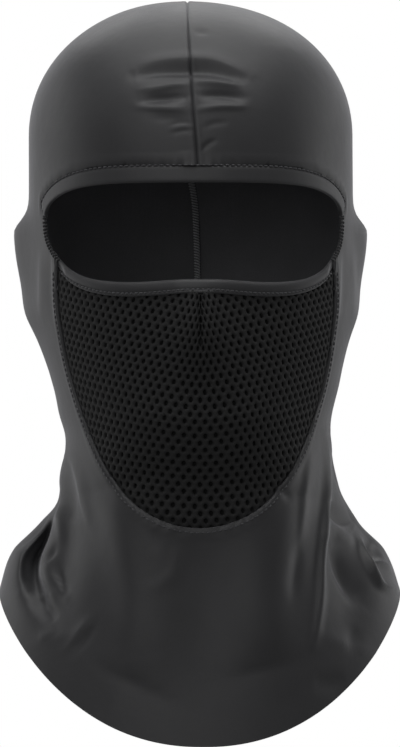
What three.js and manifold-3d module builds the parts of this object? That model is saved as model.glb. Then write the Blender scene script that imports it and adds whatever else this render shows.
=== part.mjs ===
// A summer balaclava in its worn shape: a one-piece stretch-jersey hood with a crown-to-nape
// centre seam, a wide eye opening, and a spacer-mesh panel over nose, mouth and chin.
// Millimetres, +Z up. The face looks along -Y, and +X is the right of someone looking at the face.
// The origin is where the crown of the head touches the inside of the hood.
//
// Every cloth piece is a layer of one head form, held between two distances from the form,
// and is cut to the piece's outline as seen from the front.
import * as THREE from "three";
import { ParametricGeometry } from "three/addons/geometries/ParametricGeometry.js";
import { mergeVertices } from "three/addons/utils/BufferGeometryUtils.js";
import Module from "manifold-3d";

// ---------------------------------------------------------------- cloth and thread
const JERSEY = 0.9; // thickness of the hood's stretch jersey
const MESH = 2.4; // thickness of the spacer mesh
const MESH_SINK = 0.3; // how far the mesh face lies below the jersey face
const TURNED_HEM = 2.1; // thickness of the turned brow hem: two plies and the turn
const BINDING = 3.0; // thickness of the strip folded over the mesh panel's top edge
const THREAD = 0.5; // diameter of the topstitching thread
const STITCH_LIFT = 0.45; // clearance under it, which its straight steps take a part of
const GAP = 0.3; // running clearance between neighbouring pieces
const SEAM_PLIES = 1.8; // thickness of the two plies of a seam allowance
const SEAM_ALLOWANCE = 5; // width of a seam allowance
const SEAM_END = 2; // from the end of the centre seam's allowance to the back of the skirt's edge
const OVERLOCK = 0.6; // thickness of the overlock thread's wrap round an allowance
const OVERLOCK_REACH = 3; // how far that wrap reaches over the allowance

// ---------------------------------------------------------------- head form
// Levels are measured down from the crown, and distances out from the head's upright axis.
const TEMPLE = { level: 66, out: 78.6 }; // widest point of the skull, at each side
const FOREHEAD = { level: 76, out: 93 }; // front of the skull
const OCCIPUT = { level: 96, out: 99 }; // back of the skull
const CHIN = { level: 198, out: 98 };
const NECK = { level: 212, side: 63.4, back: 64 }; // narrowest level, and the nape
const THROAT = 78; // front of the neck, under the chin
const HEM = { level: 286, side: 96.5, front: 86, back: 94 }; // edge of the skirt, at the shoulders
const HEM_DROP = { front: 67, back: 44 }; // how much lower the edge hangs in front and at the back
const HEM_SWEEP = 1.55; // how early the edge drops away from the shoulders
const DOME = 2.1; // roundness of the skull's cap: 2 is an ellipse, more is squarer
const SECTION = 2.2; // roundness of a level section
const EAR = { out: 7.6, level: 112, above: 8, below: 40, behind: 6, wide: 24 };
const NOSE = { out: 9, level: 158, above: 28, below: 24, wide: 15 };

// ---------------------------------------------------------------- face opening, seen from the front
// The slot, in from the ears: flat is how square its outline is across, and round up and down.
const EYE = { level: 106.5, inset: 12, up: 15.2, down: 31.8, flat: 5.5, round: 2.2 };
const NOSE_RISE = 1.6; // how far the slot's lower edge rises over the nose
const BAND = { up: 8, down: 6.6, side: 8 }; // widths of the brow hem, the binding and the slot's ends
const CORNER = { above: 1, below: 22 }; // how far each overlocked end reaches from the slot's level
const PANEL = { inset: 1.1, drop: 114 }; // half ellipse, in from midway between slot's ends and neck
const STITCH_INSET = 1.5; // topstitching to the edge that it holds
const PANEL_STITCH = 2; // topstitching round the mesh panel, out from its edge
const DART = { length: 30, depth: 3 }; // the mesh panel's nose dart

// ---------------------------------------------------------------- fineness of the facets
const COLUMNS = 44; // round the head
const RINGS = 27; // from crown to hem
const OUTLINE_STEPS = 48; // round a cut outline
const THREAD_STEPS = 40;
const THREAD_SIDES = 6;
const REACH = 400; // longer than the hood, for cutting tools

const wasm = await Module();
wasm.setup();

// ---------------------------------------------------------------- the head form
const power = (t, p) => Math.sign(t) * Math.abs(t) ** p;
const bell = (t, width) => Math.exp(-((t / width) ** 2));

// A quarter superellipse that rises from 0 at the crown to 1 at the given level.
function dome(level, full) {
  const left = Math.max(0, 1 - level / full);
  return (1 - left ** DOME) ** (1 / DOME);
}

// A smooth curve through [level, distance] points that doesn't overshoot them.
function along(points, level) {
  const last = points.length - 1;
  const slope = (i) => (points[i + 1][1] - points[i][1]) / (points[i + 1][0] - points[i][0]);
  const tangent = (i) => {
    if (i === 0) return 0;
    if (i === last) return slope(last - 1);
    const [a, b] = [slope(i - 1), slope(i)];
    return a * b <= 0 ? 0 : (2 * a * b) / (a + b);
  };
  let i = 0;
  while (i < last - 1 && level > points[i + 1][0]) i++;
  const [[l0, d0], [l1, d1]] = [points[i], points[i + 1]];
  const run = l1 - l0;
  const t = THREE.MathUtils.clamp((level - l0) / run, 0, 1);
  const [t2, t3] = [t * t, t * t * t];
  return (
    d0 * (2 * t3 - 3 * t2 + 1) +
    run * tangent(i) * (t3 - 2 * t2 + t) +
    d1 * (3 * t2 - 2 * t3) +
    run * tangent(i + 1) * (t3 - t2)
  );
}

// Points from one place to another, each given as its share of the way down and of the way out.
function between(from, to, shares) {
  const [l, o] = [to.level - from.level, to.out - from.out];
  return shares.map(([down, out]) => [from.level + down * l, from.out + out * o]);
}

const place = ({ level, out }) => [level, out];
const neck = { level: NECK.level, out: NECK.side };
const nape = { level: NECK.level, out: NECK.back };
const throat = { level: NECK.level + 0.55 * (HEM.level - NECK.level), out: THROAT };
const hemAt = (out) => ({ level: HEM.level, out });

// Outlines of the form below the dome of the skull, as [level, out].
const SIDE = [
  place(TEMPLE),
  ...between(TEMPLE, neck, [[0.26, 0], [0.575, 0.13], [0.795, 0.56]]),
  place(neck),
  ...between(neck, hemAt(HEM.side), [[0.32, 0.12], [0.54, 0.42], [0.72, 0.8]]),
  place(hemAt(HEM.side)),
];
const FRONT = [
  place(FOREHEAD),
  ...between(FOREHEAD, CHIN, [[0.25, 0.4], [0.55, 0.9]]),
  place(CHIN),
  ...between(CHIN, throat, [[0.25, 0.2], [0.6, 0.75]]),
  place(throat),
  place(hemAt(HEM.front)),
];
const BACK = [
  place(OCCIPUT),
  ...between(OCCIPUT, nape, [[0.3, 0.11], [0.6, 0.54]]),
  place(nape),
  ...between(nape, hemAt(HEM.back), [[0.32, 0.1], [0.66, 0.53]]),
  place(hemAt(HEM.back)),
];

function distance(points, level) {
  const [full, out] = points[0];
  return level < full ? out * dome(level, full) : along(points, level);
}

// Rises sharply above the given feature and fades slowly below it.
const feature = (shape, level) => bell(level - shape.level, level < shape.level ? shape.above : shape.below);

// The form's point at an angle from the front, towards +X, and a level.
function form(angle, level) {
  const [s, c] = [Math.sin(angle), Math.cos(angle)];
  const side = distance(SIDE, level);
  const deep = distance(c > 0 ? FRONT : BACK, level);
  const x = side * power(s, 2 / SECTION);
  const y = -deep * power(c, 2 / SECTION);
  const ear = EAR.out * feature(EAR, level) * bell(y - EAR.behind, EAR.wide) * Math.sign(s);
  const nose = c > 0 ? NOSE.out * feature(NOSE, level) * bell(x, NOSE.wide) : 0;
  const spread = Math.max(0, (level - NECK.level) / (HEM.level - NECK.level));
  const drop = (c > 0 ? HEM_DROP.front : HEM_DROP.back) * Math.abs(c) ** HEM_SWEEP;
  return new THREE.Vector3(x + ear, y - nose, -level - drop * spread ** 1.5);
}

// The form's outward unit normal there.
function outward(angle, level) {
  const [da, dl] = [0.01, 0.5];
  const low = Math.max(level, 1.5 * dl);
  const round = form(angle + da, low).sub(form(angle - da, low));
  const down = form(angle, Math.min(low + dl, HEM.level)).sub(form(angle, low - dl));
  return level < 1e-6 ? new THREE.Vector3(0, 0, 1) : round.cross(down).negate().normalize();
}

// The form's point that a front view shows at x, z, found without its ears and nose.
function seenAt({ x, y: z }) {
  let [angle, level] = [0, -z];
  for (let i = 0; i < 12; i++) {
    const across = THREE.MathUtils.clamp(x / distance(SIDE, level), -1, 1);
    angle = Math.asin(power(across, SECTION / 2));
    level = THREE.MathUtils.clamp(level + form(angle, level).z - z, 1, HEM.level);
  }
  return form(angle, level);
}

// How long a short step over the cloth looks from the front, as a share of its length.
function facing(from, direction) {
  const step = 1;
  const to = from.clone().addScaledVector(direction, step);
  return step / seenAt(to).distanceTo(seenAt(from));
}

// Levels of the rings: close together over the crown, then even.
function ringLevel(share) {
  const capShare = 0.3;
  if (share < capShare) return TEMPLE.level * (1 - Math.cos((share / capShare) * (Math.PI / 2)));
  return TEMPLE.level + ((share - capShare) / (1 - capShare)) * (HEM.level - TEMPLE.level);
}

// ---------------------------------------------------------------- solids
function solidOf(geometry) {
  const bare = geometry.clone();
  bare.deleteAttribute("normal");
  bare.deleteAttribute("uv");
  const merged = mergeVertices(bare, 1e-4);
  const index = merged.index.array;
  const corners = [];
  for (let i = 0; i < index.length; i += 3) {
    const [a, b, c] = [index[i], index[i + 1], index[i + 2]];
    if (a !== b && b !== c && c !== a) corners.push(a, b, c);
  }
  const make = () =>
    new wasm.Manifold(
      new wasm.Mesh({
        numProp: 3,
        vertProperties: new Float32Array(merged.attributes.position.array),
        triVerts: new Uint32Array(corners),
      }),
    );
  const made = make();
  if (made.volume() > 0) return made;
  for (let i = 0; i < corners.length; i += 3) [corners[i], corners[i + 1]] = [corners[i + 1], corners[i]];
  return make();
}

// The whole form as a cloth layer that lies from `inner` to `outer` away from it.
function layer(inner, outer) {
  const at = (angle, level, away) => form(angle, level).addScaledVector(outward(angle, level), away);
  const rows = 2 * RINGS + 1;
  const point = (u, v, target) => {
    const row = Math.round(v * rows);
    const outside = row <= RINGS;
    const share = (outside ? row : rows - row) / RINGS;
    const angle = u >= 1 - 1e-9 ? 0 : u * 2 * Math.PI;
    target.copy(at(share === 0 ? 0 : angle, ringLevel(share), outside ? outer : inner));
  };
  return solidOf(new ParametricGeometry(point, COLUMNS, rows));
}

// A prism of a front-view outline, reaching forward from the head's axis.
function front(shape) {
  const prism = new THREE.ExtrudeGeometry(shape, { depth: REACH, bevelEnabled: false, curveSegments: 1 });
  prism.rotateX(Math.PI / 2);
  return solidOf(prism);
}

// A block between two corners.
function block(x0, x1, y0, y1, z0, z1) {
  const box = new THREE.BoxGeometry(x1 - x0, y1 - y0, z1 - z0);
  box.translate((x0 + x1) / 2, (y0 + y1) / 2, (z0 + z1) / 2);
  return solidOf(box);
}

// Evenly spaced turns, with both ends.
function turns(from, to, steps) {
  return Array.from({ length: steps + 1 }, (_, i) => from + ((to - from) * i) / steps);
}

// ---------------------------------------------------------------- front-view outlines
const eyeHalf = form(Math.PI / 2, EYE.level).x - EYE.inset;
const panelHalf = (eyeHalf + NECK.side) / 2 - PANEL.inset;
const panelTop = EYE.level + EYE.down; // level of the half ellipse's straight side
const endFacing = facing(new THREE.Vector2(eyeHalf, -EYE.level), new THREE.Vector2(1, 0));

// A point of the slot's outline, grown by widths over the cloth. Turn 0 is +X, and a quarter turn is up.
function eyePoint(turn, up, side, down) {
  const [c, s] = [Math.cos(turn), Math.sin(turn)];
  const high = s > 0 ? EYE.up + up : EYE.down + down;
  const x = (eyeHalf + side * endFacing) * power(c, 2 / EYE.flat);
  const rise = s < 0 ? NOSE_RISE * bell(x, 2 * NOSE.wide) : 0;
  return new THREE.Vector2(x, -EYE.level + high * power(s, 2 / EYE.round) + rise);
}

function eyeShape(up, side, down) {
  const round = turns(0, 2 * Math.PI, OUTLINE_STEPS).slice(1);
  return new THREE.Shape(round.map((t) => eyePoint(t, up, side, down)));
}

// A point of the panel's half ellipse, grown all round by a width over the cloth. Turn 0 is +X.
function panelPoint(turn, grow) {
  const [c, s] = [Math.cos(turn), Math.sin(turn)];
  const edge = new THREE.Vector2(panelHalf * c, -panelTop - PANEL.drop * s);
  const out = new THREE.Vector2(c / panelHalf, -s / PANEL.drop).normalize();
  return edge.addScaledVector(out, grow * facing(edge, out));
}

// The half ellipse with straight sides up to the slot's level.
function panelShape(grow) {
  const bottom = turns(0, Math.PI, OUTLINE_STEPS / 2).map((t) => panelPoint(t, grow));
  const [right, left] = [bottom[0].x, -bottom[0].x].map((x) => new THREE.Vector2(x, -EYE.level));
  return new THREE.Shape([right, ...bottom, left]);
}

const slot = front(eyeShape(0, 0, 0));
const band = front(eyeShape(BAND.up, BAND.side, BAND.down));
const bandRoom = front(eyeShape(BAND.up + GAP, BAND.side + GAP, BAND.down + GAP));

// ---------------------------------------------------------------- cloth pieces
const meshFace = JERSEY - MESH_SINK;

function hoodShell() {
  const cloth = layer(0, JERSEY).subtract(seamSlab(GAP, 0, REACH));
  return cloth.subtract(bandRoom).subtract(front(panelShape(GAP)));
}

function faceMesh() {
  return layer(meshFace - MESH, meshFace).intersect(front(panelShape(0))).subtract(bandRoom);
}

// The edging round the slot between two levels, on one side of the face or on both.
function edging(thickness, fromLevel, toLevel, x0, x1) {
  const middle = JERSEY / 2;
  return layer(middle - thickness / 2, middle + thickness / 2)
    .intersect(band)
    .subtract(slot)
    .intersect(block(x0, x1, -REACH, 0, -toLevel, -fromLevel));
}

const cornerTop = EYE.level - CORNER.above;
const cornerEnd = EYE.level + CORNER.below;

const browHem = () => edging(TURNED_HEM, 0, cornerTop, -REACH, REACH);
const lowerBinding = () => edging(BINDING, cornerEnd, REACH, -REACH, REACH);
const slotCorner = (x0, x1) => edging(TURNED_HEM + OVERLOCK, cornerTop + GAP, cornerEnd - GAP, x0, x1);

// ---------------------------------------------------------------- seams, on the inside
// Where the centre seam runs: over the crown from the brow hem, and down the back to this level.
function seamPath(inset, end) {
  const brow = -(EYE.level - EYE.up - BAND.up) + GAP + inset;
  return new THREE.Shape([
    new THREE.Vector2(-REACH, brow),
    new THREE.Vector2(0, brow),
    new THREE.Vector2(0, -end),
    new THREE.Vector2(REACH, -end),
    new THREE.Vector2(REACH, REACH),
    new THREE.Vector2(-REACH, REACH),
  ]);
}

// A slab of that path, `wide` across the seam.
function seamSlab(wide, inset, end) {
  const slab = new THREE.ExtrudeGeometry(seamPath(inset, end), { depth: wide, bevelEnabled: false });
  slab.translate(0, 0, -wide / 2);
  slab.rotateY(Math.PI / 2);
  slab.rotateX(Math.PI / 2);
  return solidOf(slab);
}

const allowanceEnd = HEM.level + HEM_DROP.back - SEAM_END;

function centreSeamAllowance() {
  return layer(-GAP - SEAM_ALLOWANCE, -GAP).intersect(seamSlab(SEAM_PLIES, 0, allowanceEnd));
}

function centreSeamOverlock() {
  const edge = -GAP - SEAM_ALLOWANCE;
  const inner = SEAM_PLIES + 2 * GAP;
  return layer(edge - GAP - OVERLOCK, edge + OVERLOCK_REACH)
    .intersect(seamSlab(inner + 2 * OVERLOCK, 0, allowanceEnd))
    .subtract(layer(edge - GAP, 0).intersect(seamSlab(inner, -GAP, REACH)));
}

// A strip under the jersey beside the mesh panel, between two distances from the panel's edge.
function besidePanel(inner, outer, thickness) {
  return layer(-GAP - thickness, -GAP)
    .intersect(front(panelShape(outer)))
    .subtract(front(panelShape(inner)))
    .intersect(block(-REACH, REACH, -REACH, 0, -REACH, -panelTop - BAND.down));
}

const meshSeamAllowance = () => besidePanel(GAP, GAP + SEAM_ALLOWANCE, SEAM_PLIES);
const meshSeamOverlock = () =>
  besidePanel(2 * GAP + SEAM_ALLOWANCE, 2 * GAP + SEAM_ALLOWANCE + 2 * OVERLOCK, SEAM_PLIES + OVERLOCK);

// The stitched fold of the nose dart, standing in from the back of the mesh.
function noseDart() {
  const top = -panelTop - BAND.down - GAP;
  const back = meshFace - MESH - GAP;
  const across = SEAM_PLIES / 2;
  return layer(back - DART.depth, back).intersect(block(-across, across, -REACH, 0, top - DART.length, top));
}

// ---------------------------------------------------------------- topstitching
// The thread lies on the outside of a piece, above the front-view points given.
function topstitch(piece, points) {
  const mesh = new THREE.Mesh(geometryOf(piece));
  const ray = new THREE.Raycaster();
  const towardsFace = new THREE.Vector3(0, 1, 0);
  const laid = [];
  for (const p of points) {
    ray.set(new THREE.Vector3(p.x, -REACH, p.y), towardsFace);
    const hit = ray.intersectObject(mesh)[0];
    if (hit) laid.push(hit.point.addScaledVector(hit.face.normal, STITCH_LIFT + THREAD / 2));
  }
  const section = new THREE.Shape();
  for (let i = 0; i < THREAD_SIDES; i++) {
    const turn = (i / THREAD_SIDES) * 2 * Math.PI;
    const [x, y] = [(THREAD / 2) * Math.cos(turn), (THREAD / 2) * Math.sin(turn)];
    if (i === 0) section.moveTo(x, y);
    else section.lineTo(x, y);
  }
  const path = new THREE.CatmullRomCurve3(laid);
  return solidOf(new THREE.ExtrudeGeometry(section, { steps: laid.length - 1, extrudePath: path }));
}

// The turn, on the +X side, at which a slot outline grown to this height is `off` from the slot's level.
const turnAt = (off, high) => Math.asin(power(off / high, EYE.round / 2));

function browStitching(hem) {
  const [up, side] = [BAND.up - STITCH_INSET, BAND.side - STITCH_INSET];
  const start = turnAt(CORNER.above + STITCH_INSET, EYE.up + up);
  const path = turns(start, Math.PI - start, THREAD_STEPS);
  return topstitch(hem, path.map((t) => eyePoint(t, up, side, 0)));
}

function bindingStitching(binding) {
  const [down, side] = [BAND.down - STITCH_INSET, BAND.side - STITCH_INSET];
  const start = turnAt(-CORNER.below - STITCH_INSET, EYE.down + down);
  const path = turns(start, -Math.PI - start, THREAD_STEPS);
  return topstitch(binding, path.map((t) => eyePoint(t, 0, side, down)));
}

function meshSeamStitching(shell) {
  const start = Math.asin((BAND.down + PANEL_STITCH) / PANEL.drop);
  const path = turns(start, Math.PI - start, THREAD_STEPS);
  return topstitch(shell, path.map((t) => panelPoint(t, PANEL_STITCH)));
}

// ---------------------------------------------------------------- the assembly
function geometryOf(solid) {
  const mesh = solid.getMesh();
  const geometry = new THREE.BufferGeometry();
  geometry.setAttribute("position", new THREE.BufferAttribute(mesh.vertProperties, 3));
  geometry.setIndex(new THREE.BufferAttribute(mesh.triVerts, 1));
  return geometry.toNonIndexed();
}

const jersey = new THREE.MeshStandardMaterial({ color: 0x3b3b3d, roughness: 0.55, metalness: 0 });
const mesh = new THREE.MeshStandardMaterial({ color: 0x161717, roughness: 0.8, metalness: 0 });
const thread = new THREE.MeshStandardMaterial({ color: 0x2c2c2e, roughness: 0.6, metalness: 0 });

const balaclava = new THREE.Group();

function add(name, solid, material) {
  const piece = new THREE.Mesh(geometryOf(solid), material);
  piece.name = name;
  balaclava.add(piece);
  return solid;
}

const shell = add("hood_shell", hoodShell(), jersey);
const hem = add("brow_hem", browHem(), jersey);
const binding = add("lower_eye_binding", lowerBinding(), jersey);
add("face_mesh", faceMesh(), mesh);
add("slot_corner_left", slotCorner(-REACH, 0), thread);
add("slot_corner_right", slotCorner(0, REACH), thread);
add("centre_seam_allowance", centreSeamAllowance(), jersey);
add("centre_seam_overlock", centreSeamOverlock(), thread);
add("mesh_seam_allowance", meshSeamAllowance(), mesh);
add("mesh_seam_overlock", meshSeamOverlock(), thread);
add("nose_dart", noseDart(), mesh);
add("brow_hem_stitching", browStitching(hem), thread);
add("binding_stitching", bindingStitching(binding), thread);
add("mesh_seam_stitching", meshSeamStitching(shell), thread);

export default balaclava;
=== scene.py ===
"""A summer balaclava: a stretch jersey hood in its worn shape, with a wide eye opening and a spacer-mesh
panel over nose, mouth and chin.

Every piece of cloth is laid over one head form. The form gives a point for an angle round the head and a
level below the crown, and a piece keeps its own distance from it. The cloth's folds belong to the form,
so the pieces that meet at a seam fold together. The form works in millimetres, and the meshes in metres.
"""

import math

import bmesh
import bpy
import numpy as np
from bpy.props import FloatProperty, FloatVectorProperty, PointerProperty
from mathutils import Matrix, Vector
from mathutils.kdtree import KDTree


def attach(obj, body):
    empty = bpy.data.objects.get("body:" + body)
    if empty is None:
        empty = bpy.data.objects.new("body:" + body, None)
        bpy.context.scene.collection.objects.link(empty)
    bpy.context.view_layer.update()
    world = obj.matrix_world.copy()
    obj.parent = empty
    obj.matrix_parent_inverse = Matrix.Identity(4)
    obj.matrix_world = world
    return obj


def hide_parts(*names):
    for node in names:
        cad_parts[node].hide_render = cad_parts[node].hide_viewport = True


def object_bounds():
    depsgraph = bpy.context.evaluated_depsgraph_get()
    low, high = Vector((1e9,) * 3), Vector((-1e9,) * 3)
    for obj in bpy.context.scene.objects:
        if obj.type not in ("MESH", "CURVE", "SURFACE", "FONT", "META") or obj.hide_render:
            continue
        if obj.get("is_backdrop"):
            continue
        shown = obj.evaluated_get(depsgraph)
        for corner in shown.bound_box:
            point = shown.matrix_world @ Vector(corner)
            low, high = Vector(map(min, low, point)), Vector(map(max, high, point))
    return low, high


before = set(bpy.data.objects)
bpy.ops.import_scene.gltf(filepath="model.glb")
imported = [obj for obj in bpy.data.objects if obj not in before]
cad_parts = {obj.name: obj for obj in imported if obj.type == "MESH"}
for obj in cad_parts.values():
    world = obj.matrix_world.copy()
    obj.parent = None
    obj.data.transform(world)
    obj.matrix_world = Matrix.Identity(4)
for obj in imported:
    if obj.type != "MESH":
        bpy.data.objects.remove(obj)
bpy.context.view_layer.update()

bl_info = {
    "name": "Mesh-Face Balaclava",
    "version": (1, 0, 0),
    "blender": (4, 5, 0),
    "location": "View3D > Sidebar > Balaclava",
    "description": "Makes a jersey balaclava with a spacer-mesh face panel, its seams and its stitching",
    "category": "Add Mesh",
}

MM = 0.001
TURN = 2 * math.pi

# ------------------------------------------------------------------ sizes of the cut and sewn hood, in mm
TEMPLE = {"level": 66, "out": 78.6}
FOREHEAD = {"level": 76, "out": 93}
OCCIPUT = {"level": 96, "out": 99}
CHIN = {"level": 198, "out": 98}
NECK = {"level": 212, "side": 63.4, "back": 64}
THROAT = 78
HEM = {"level": 286, "side": 96.5, "front": 86, "back": 94}
HEM_DROP = {"front": 67, "back": 44}
HEM_SWEEP = 1.55
DOME = 2.1
SECTION = 2.2
EAR = {"out": 7.6, "level": 112, "above": 8, "below": 40, "behind": 6, "wide": 24}
NOSE = {"out": 9, "level": 158, "above": 28, "below": 24, "wide": 15}
EYE = {"level": 106.5, "inset": 12.0, "up": 15.2, "down": 31.8, "flat": 5.5, "round": 2.2}
# How far the slot's floor rises over the nose.
NOSE_RISE = 2.1
PANEL = {"inset": 1.1, "drop": 114}
# Of the turn round the eye opening, what the overlocked ends take below the middle of each side.
CORNER_TURN = (0.06, -0.66)
# The cut edges inside a seam, and the stitch line beside the mesh panel's seam.
SEAM_ALLOWANCE = 5.0
PANEL_STITCH = 2.0
# The jersey lies closer to the form above the neck, and the skirt's front hangs lower.
CLOSER = 1.1
LOWER_FRONT = 1.4
# Points of a cut this near to its outline move onto it.
SNAP = 0.45


def power(t, p):
    return np.sign(t) * np.abs(t) ** p


def bell(t, width):
    return np.exp(-((t / width) ** 2))


def ease(t, start, end):
    """0 before start, 1 after end, and smooth between them."""
    s = np.clip((t - start) / (end - start), 0, 1)
    return s * s * (3 - 2 * s)


def hermite(start, end, leaving, arriving, run, t):
    """The smooth curve between two knots, `run` apart, at a share t of the way. leaving and arriving are
    its slopes at them."""
    return (
        start * (2 * t**3 - 3 * t**2 + 1)
        + run * leaving * (t**3 - 2 * t**2 + t)
        + end * (3 * t**2 - 2 * t**3)
        + run * arriving * (t**3 - t**2)
    )


def lengths(line):
    """How far each point of a line is along it."""
    return np.concatenate([[0], np.cumsum(np.linalg.norm(np.diff(line, axis=0), axis=1))])


def points_at(line, at, places):
    """Points of a line of the front view at places. at says where the line's own points are."""
    return np.stack([np.interp(places, at, line[:, k]) for k in range(2)], axis=-1)


# ------------------------------------------------------------------ the head form
class Outline:
    """Distance from the head's axis at each level: a dome down to the first point, then a smooth curve."""

    def __init__(self, *points):
        self.level, self.out = np.array(points, float).T
        slope = np.diff(self.out) / np.diff(self.level)
        before, after = slope[:-1], slope[1:]
        same_way = before * after > 0
        total = np.where(same_way, before + after, 1)
        inner = np.where(same_way, 2 * before * after / total, 0)
        self.tangent = np.concatenate([[0], inner, slope[-1:]])

    def __call__(self, level):
        i = np.clip(np.searchsorted(self.level, level) - 1, 0, len(self.level) - 2)
        run = self.level[i + 1] - self.level[i]
        t = np.clip((level - self.level[i]) / run, 0, 1)
        curve = hermite(self.out[i], self.out[i + 1], self.tangent[i], self.tangent[i + 1], run, t)
        left = np.clip(1 - level / self.level[0], 0, 1)
        return np.where(level < self.level[0], self.out[0] * (1 - left**DOME) ** (1 / DOME), curve)


def between(start, end, *shares):
    """Points from one (level, out) to another, each given as its share of the way down and of the way out."""
    (level, out), run, rise = start, end[0] - start[0], end[1] - start[1]
    return [(level + down * run, out + away * rise) for down, away in shares]


def outlines():
    temple, forehead, occiput, chin = ((p["level"], p["out"]) for p in (TEMPLE, FOREHEAD, OCCIPUT, CHIN))
    neck, nape = (NECK["level"], NECK["side"]), (NECK["level"], NECK["back"])
    throat = (NECK["level"] + 0.55 * (HEM["level"] - NECK["level"]), THROAT)
    side, front, back = ((HEM["level"], HEM[k]) for k in ("side", "front", "back"))
    return (
        Outline(
            temple,
            *between(temple, neck, (0.26, 0), (0.575, 0.13), (0.795, 0.56)),
            neck,
            *between(neck, side, (0.32, 0.12), (0.54, 0.42), (0.72, 0.8)),
            side,
        ),
        Outline(
            forehead,
            *between(forehead, chin, (0.25, 0.4), (0.55, 0.9)),
            chin,
            *between(chin, throat, (0.25, 0.2), (0.6, 0.75)),
            throat,
            front,
        ),
        Outline(
            occiput,
            *between(occiput, nape, (0.3, 0.11), (0.6, 0.54)),
            nape,
            *between(nape, back, (0.32, 0.1), (0.66, 0.53)),
            back,
        ),
    )


SIDE, FRONT, BACK = outlines()


def feature(shape, level):
    """Rises sharply above a feature of the head and fades slowly below it."""
    return bell(level - shape["level"], np.where(level < shape["level"], shape["above"], shape["below"]))


def form(angle, level):
    """The form's point at an angle from the front, towards +X, and a level."""
    s, c = np.sin(angle), np.cos(angle)
    x = SIDE(level) * power(s, 2 / SECTION)
    y = -np.where(c > 0, FRONT(level), BACK(level)) * power(c, 2 / SECTION)
    ear = EAR["out"] * feature(EAR, level) * bell(y - EAR["behind"], EAR["wide"]) * np.sign(s)
    nose = np.where(c > 0, NOSE["out"] * feature(NOSE, level) * bell(x, NOSE["wide"]), 0)
    spread = np.clip((level - NECK["level"]) / (HEM["level"] - NECK["level"]), 0, None)
    drop = np.where(c > 0, HEM_DROP["front"], HEM_DROP["back"]) * np.abs(c) ** HEM_SWEEP
    return np.stack([x + ear, y - nose, -level - drop * spread**1.5], axis=-1)


def outward(angle, level):
    """The form's outward unit normal there."""
    step_round, step_down = 0.01, 0.5
    low = np.maximum(level, 1.5 * step_down)
    across = form(angle + step_round, low) - form(angle - step_round, low)
    down = form(angle, np.minimum(low + step_down, HEM["level"])) - form(angle, low - step_down)
    normal = -np.cross(across, down)
    normal /= np.linalg.norm(normal, axis=-1, keepdims=True)
    return np.where((level < 1e-6)[..., None], [0, 0, 1.0], normal)


def seen_at(x, z):
    """The angle and level of the form's front that a front view shows at x, z."""
    x, z = np.broadcast_arrays(np.asarray(x, float), np.asarray(z, float))
    angle, level = np.zeros(x.shape), np.clip(-z, 1, HEM["level"])
    for _ in range(30):
        p = form(angle, level)
        side = SIDE(level)
        bulge = p[..., 0] - side * power(np.sin(angle), 2 / SECTION)
        angle = np.arcsin(power(np.clip((x - bulge) / side, -0.9999, 0.9999), SECTION / 2))
        level = np.clip(level + form(angle, level)[..., 2] - z, 1, HEM["level"])
    return angle, level


def on_form(line):
    """The form's points that a front view shows at a line's points."""
    return form(*seen_at(line[..., 0], line[..., 1]))


def facing(start, direction):
    """How long a short step over the cloth looks from the front, as a share of its length."""
    return 1 / np.linalg.norm(on_form(start + direction) - on_form(start), axis=-1)


# ------------------------------------------------------------------ folds of the cloth
STROKE_STEPS = 40


def stroke(x, z, points, wide, high, softer=1.0):
    """A fold along a smooth curve through points (x, z) of the front view: high is its height, in mm, and
    below 0 it is a hollow. wide is its half width, and softer times that on the curve's left side. The
    fold runs out at both ends."""
    knots = np.array(points, float)
    at = lengths(knots)
    steps = np.linspace(0, at[-1], STROKE_STEPS)
    slope = np.gradient(knots, at, axis=0)
    i = np.clip(np.searchsorted(at, steps) - 1, 0, len(at) - 2)
    run = (at[i + 1] - at[i])[:, None]
    t = (steps - at[i])[:, None] / run
    curve = hermite(knots[i], knots[i + 1], slope[i], slope[i + 1], run, t)
    reach = 3 * wide * max(1, softer)
    near = np.flatnonzero(
        (x > curve[:, 0].min() - reach) & (x < curve[:, 0].max() + reach)
        & (z > curve[:, 1].min() - reach) & (z < curve[:, 1].max() + reach)
    )
    lift = np.zeros(len(x))
    span = np.diff(curve, axis=0)
    gap = np.stack([x[near], z[near]], axis=1)[:, None] - curve[None, :-1]
    along = np.clip((gap * span).sum(axis=2) / (span**2).sum(axis=1), 0, 1)
    gap -= along[..., None] * span
    k = (gap**2).sum(axis=2).argmin(axis=1)
    each = np.arange(len(k))
    gap, along, span = gap[each, k], along[each, k], span[k]
    side = (span[:, 0] * gap[:, 1] - span[:, 1] * gap[:, 0]) / np.linalg.norm(span, axis=1)
    half = wide * (1 + (softer - 1) * ease(side, -0.2 * wide, 0.2 * wide))
    taper = np.sin(np.pi * np.clip((k + along) / (STROKE_STEPS - 1), 0.02, 0.98)) ** 0.6
    lift[near] = high * taper * np.exp(-(gap**2).sum(axis=1) / half**2)
    return lift


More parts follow.
